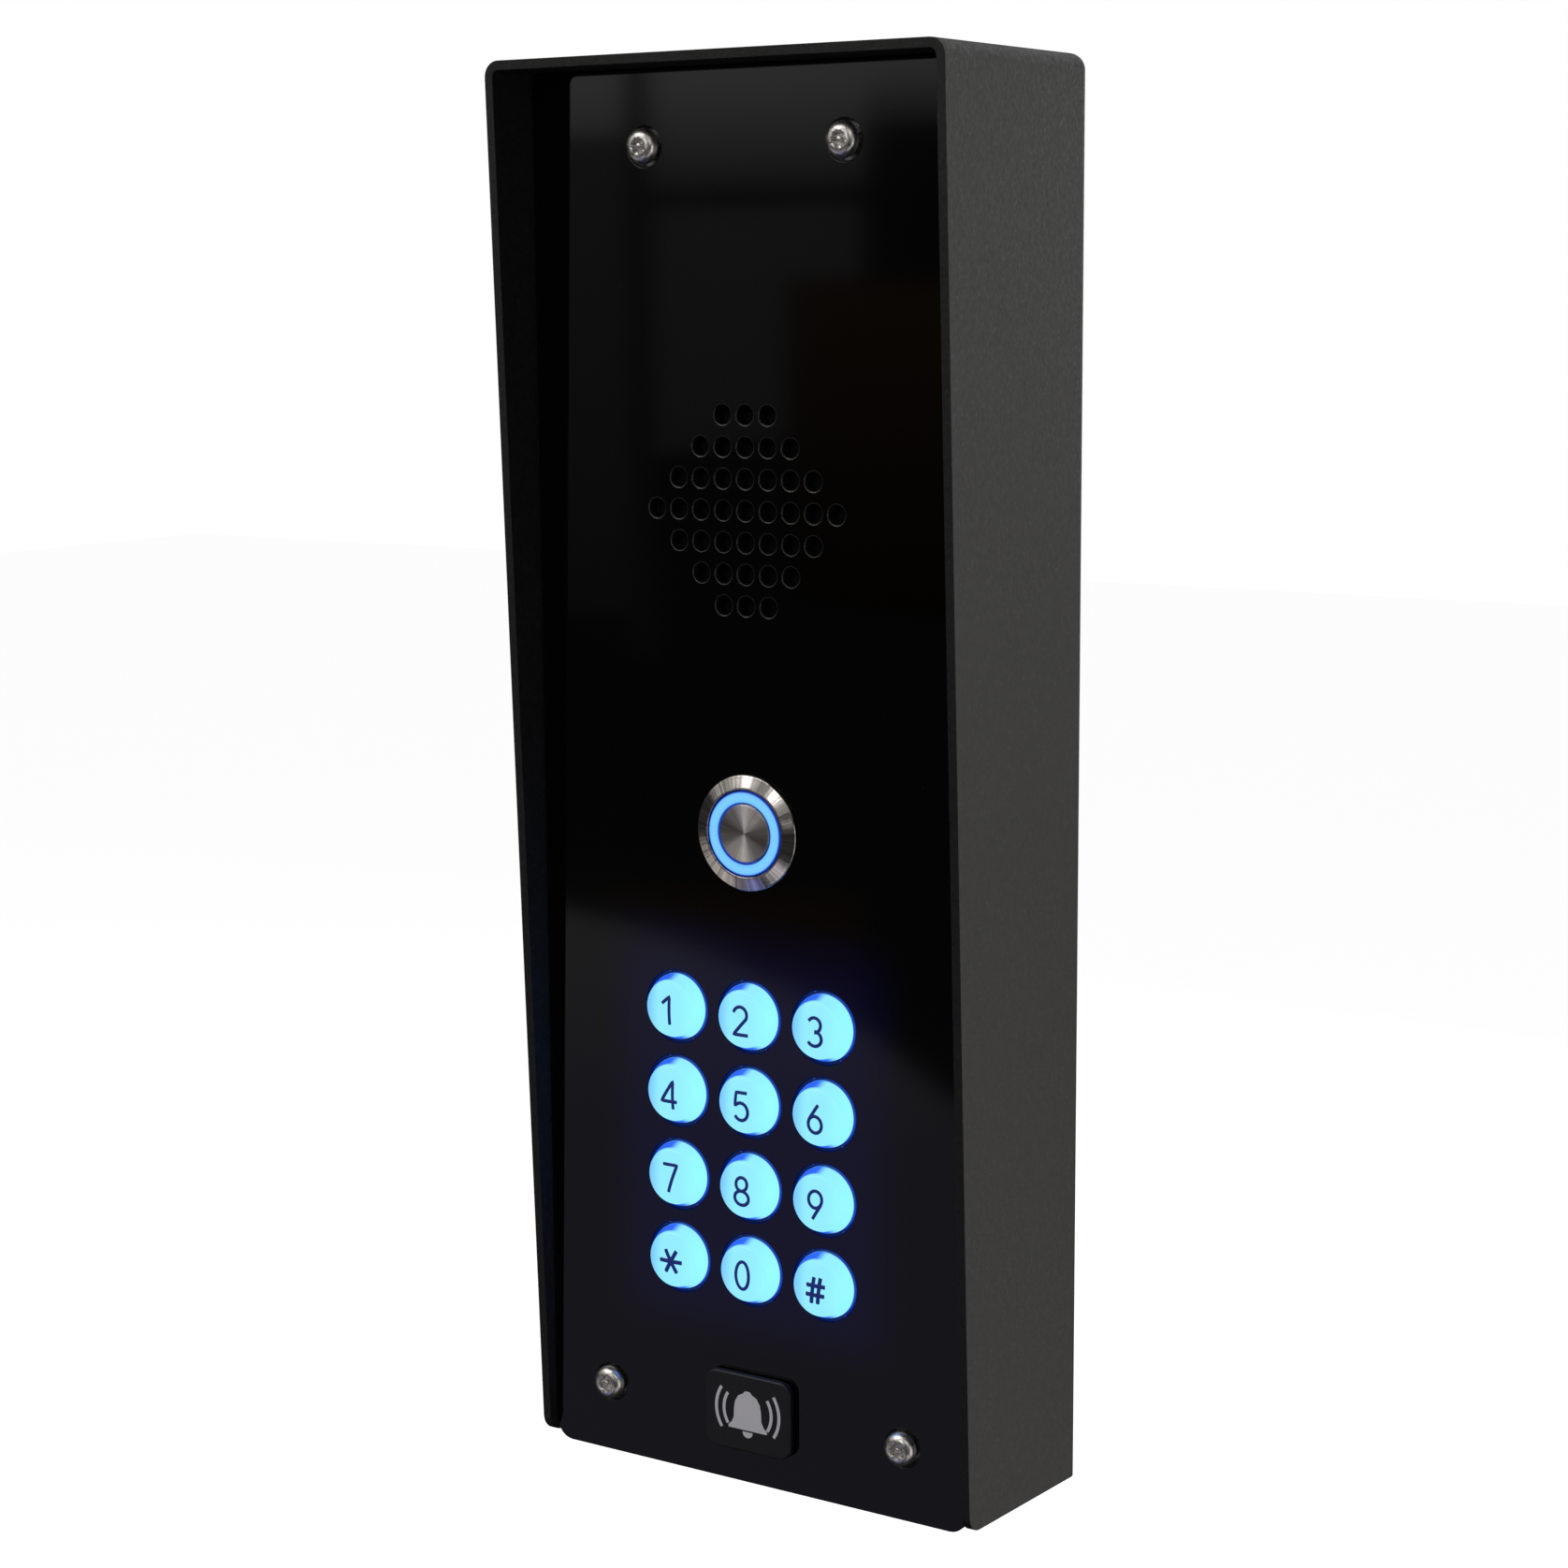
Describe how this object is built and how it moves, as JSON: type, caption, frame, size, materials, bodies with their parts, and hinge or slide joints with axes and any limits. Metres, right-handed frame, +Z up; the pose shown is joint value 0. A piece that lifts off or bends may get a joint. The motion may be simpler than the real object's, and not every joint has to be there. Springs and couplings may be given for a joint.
{
  "type": "door intercom panel",
  "caption": "Wall-mounted door entry panel with a rain hood, gloss black front, speaker grille, call button and lit keypad",
  "frame": {"origin": "on the flat back face of the housing that lies against the wall, on its centre line and half way down the 305 mm box", "axes": "+X to the right as a visitor sees it, +Y into the wall, +Z up"},
  "size_m": [0.112, 0.0597, 0.3075],
  "materials": {
    "black_powder_coat": "fine-textured black powder coat",
    "black_acrylic": "mirror-gloss black acrylic",
    "zinc_plate": "dull zinc-plated sheet steel",
    "stainless_steel": "turned and brushed stainless steel",
    "brass": "machined brass",
    "blue_lit_lens": "translucent lens lit blue from behind",
    "black_rubber": "moulded black rubber",
    "grey_silicone": "soft grey silicone",
    "board_green": "glass-fibre board with green solder mask",
    "dark_plastic": "moulded dark plastic",
    "plaque": "satin black plaque with a pale bell symbol",
    "terminal_green": "green terminal block plastic",
    "relay_blue": "blue relay case",
    "tinned_can": "tinned sheet can",
    "magnet_steel": "dark plated magnet cup",
    "cone_paper": "pressed black paper cone",
    "acoustic_cloth": "fine black woven cloth"
  },
  "bodies": {
    "root": {"backing_plate": "zinc_plate", "badge": "plaque", "board_screw_1": "stainless_steel", "board_screw_2": "stainless_steel", "board_screw_3": "stainless_steel", "board_screw_4": "stainless_steel", "board_standoff_1": "brass", "board_standoff_2": "brass", "board_standoff_3": "brass", "board_standoff_4": "brass", "cable_grommet": "black_rubber", "call_base": "dark_plastic", "call_bezel": "stainless_steel", "call_nut": "brass", "call_seal": "black_rubber", "call_spring": "stainless_steel", "gloss_fascia": "black_acrylic", "hood_housing": "black_powder_coat", "key_mat": "grey_silicone", "keypad_board": "board_green", "keypad_post_1": "brass", "keypad_post_2": "brass", "keypad_post_3": "brass", "keypad_post_4": "brass", "keypad_ribbon": "dark_plastic", "lock_relay": "relay_blue", "lock_terminals": "terminal_green", "main_board": "board_green", "microphone_boot": "black_rubber", "microphone_capsule": "tinned_can", "panel_gasket": "black_rubber", "panel_screw_1": "stainless_steel", "panel_screw_2": "stainless_steel", "panel_screw_3": "stainless_steel", "panel_screw_4": "stainless_steel", "power_terminals": "terminal_green", "processor": "dark_plastic", "radio_module": "tinned_can", "speaker_clamp": "dark_plastic", "speaker_cone": "cone_paper", "speaker_frame": "zinc_plate", "speaker_magnet": "magnet_steel", "speaker_mesh": "acoustic_cloth"},
    "call_button": {"call_cap": "stainless_steel", "call_ring": "blue_lit_lens"},
    "key_1_body": {"key_1": "blue_lit_lens"},
    "key_2_body": {"key_2": "blue_lit_lens"},
    "key_3_body": {"key_3": "blue_lit_lens"},
    "key_4_body": {"key_4": "blue_lit_lens"},
    "key_5_body": {"key_5": "blue_lit_lens"},
    "key_6_body": {"key_6": "blue_lit_lens"},
    "key_7_body": {"key_7": "blue_lit_lens"},
    "key_8_body": {"key_8": "blue_lit_lens"},
    "key_9_body": {"key_9": "blue_lit_lens"},
    "key_star_body": {"key_star": "blue_lit_lens"},
    "key_0_body": {"key_0": "blue_lit_lens"},
    "key_hash_body": {"key_hash": "blue_lit_lens"}
  },
  "joints": [
    {"name": "key_1_press", "type": "slide", "parent": "root", "child": "key_1_body", "axis": [0, 1, 0], "range_m": [0, 0.0012], "stiffness_N_per_m": 800, "springref_m": -0.0003},
    {"name": "key_2_press", "type": "slide", "parent": "root", "child": "key_2_body", "axis": [0, 1, 0], "range_m": [0, 0.0012], "stiffness_N_per_m": 800, "springref_m": -0.0003},
    {"name": "key_3_press", "type": "slide", "parent": "root", "child": "key_3_body", "axis": [0, 1, 0], "range_m": [0, 0.0012], "stiffness_N_per_m": 800, "springref_m": -0.0003},
    {"name": "key_4_press", "type": "slide", "parent": "root", "child": "key_4_body", "axis": [0, 1, 0], "range_m": [0, 0.0012], "stiffness_N_per_m": 800, "springref_m": -0.0003},
    {"name": "key_5_press", "type": "slide", "parent": "root", "child": "key_5_body", "axis": [0, 1, 0], "range_m": [0, 0.0012], "stiffness_N_per_m": 800, "springref_m": -0.0003},
    {"name": "key_6_press", "type": "slide", "parent": "root", "child": "key_6_body", "axis": [0, 1, 0], "range_m": [0, 0.0012], "stiffness_N_per_m": 800, "springref_m": -0.0003},
    {"name": "key_7_press", "type": "slide", "parent": "root", "child": "key_7_body", "axis": [0, 1, 0], "range_m": [0, 0.0012], "stiffness_N_per_m": 800, "springref_m": -0.0003},
    {"name": "key_8_press", "type": "slide", "parent": "root", "child": "key_8_body", "axis": [0, 1, 0], "range_m": [0, 0.0012], "stiffness_N_per_m": 800, "springref_m": -0.0003},
    {"name": "key_9_press", "type": "slide", "parent": "root", "child": "key_9_body", "axis": [0, 1, 0], "range_m": [0, 0.0012], "stiffness_N_per_m": 800, "springref_m": -0.0003},
    {"name": "key_star_press", "type": "slide", "parent": "root", "child": "key_star_body", "axis": [0, 1, 0], "range_m": [0, 0.0012], "stiffness_N_per_m": 800, "springref_m": -0.0003},
    {"name": "key_0_press", "type": "slide", "parent": "root", "child": "key_0_body", "axis": [0, 1, 0], "range_m": [0, 0.0012], "stiffness_N_per_m": 800, "springref_m": -0.0003},
    {"name": "key_hash_press", "type": "slide", "parent": "root", "child": "key_hash_body", "axis": [0, 1, 0], "range_m": [0, 0.0012], "stiffness_N_per_m": 800, "springref_m": -0.0003},
    {"name": "call_press", "type": "slide", "parent": "root", "child": "call_button", "axis": [0, 1, 0], "range_m": [0, 0.002], "stiffness_N_per_m": 1200, "springref_m": -0.0005, "deforming": ["call_spring"]}
  ]
}
